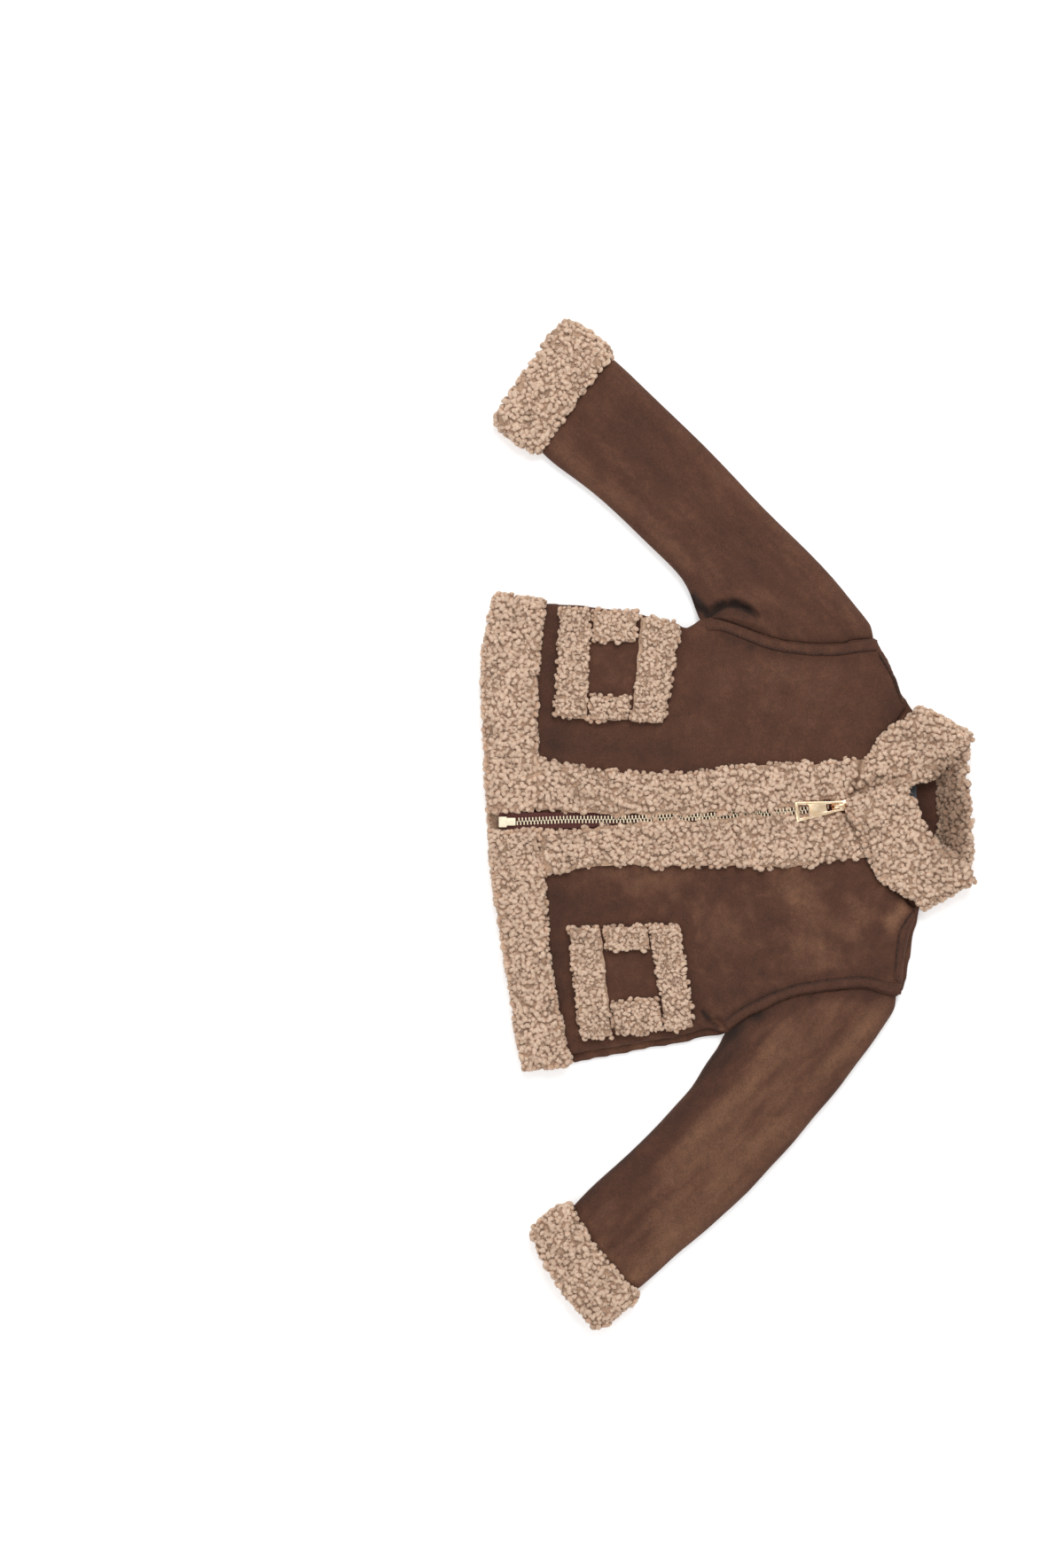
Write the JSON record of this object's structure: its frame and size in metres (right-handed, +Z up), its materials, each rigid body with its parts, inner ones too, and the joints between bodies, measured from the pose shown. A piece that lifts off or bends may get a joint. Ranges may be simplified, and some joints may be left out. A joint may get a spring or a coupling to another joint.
{
  "type": "shearling coat",
  "caption": "Toddler's zip-up shearling coat in brown bonded suede with curly sherpa collar, cuffs, hem, placket and pocket trim, laid flat.",
  "frame": {"origin": "middle of the coat's outline, on the surface it lies on", "axes": "+X to the wearer's left, +Y from hem to collar, +Z up out of the surface"},
  "size_m": [0.708, 0.3476, 0.0317],
  "materials": {
    "suede": "matte napped faux suede, dark brown",
    "sherpa": "curly boucle pile, beige, very rough",
    "zip_tape": "woven reddish brown tape, matte",
    "zip_metal": "polished pale gold plating",
    "neck_label": "plain woven dark grey, matte"
  },
  "bodies": {
    "coat": {"front_right": "suede", "front_left": "suede", "back": "suede", "armhole_seam_right": "suede", "shoulder_seam_right": "suede", "armhole_seam_left": "suede", "shoulder_seam_left": "suede", "sleeve_right": "suede", "sleeve_left": "suede", "pocket_patch_right": "suede", "pocket_patch_left": "suede", "neck_facing": "suede", "cuff_right": "sherpa", "cuff_left": "sherpa", "hem_band_right": "sherpa", "hem_band_left": "sherpa", "hem_band_back": "sherpa", "placket_right": "sherpa", "placket_left": "sherpa", "collar": "sherpa", "pocket_trim_right_hem": "sherpa", "pocket_trim_right_collar": "sherpa", "pocket_trim_right_side": "sherpa", "pocket_trim_right_centre": "sherpa", "pocket_trim_left_hem": "sherpa", "pocket_trim_left_collar": "sherpa", "pocket_trim_left_side": "sherpa", "pocket_trim_left_centre": "sherpa", "zip_tape_right": "zip_tape", "zip_tape_left": "zip_tape", "zip_chain": "zip_metal", "zip_box": "zip_metal", "zip_slider": "zip_metal", "neck_label": "neck_label"},
    "pull": {"zip_pull": "zip_metal"}
  },
  "joints": [
    {"name": "pull_lift", "type": "hinge", "parent": "coat", "child": "pull", "pos_m": [-0.0136, 0.0774, 0.0172], "axis": [-0.9903, -0.1392, 0], "range_deg": [0, 100]}
  ]
}
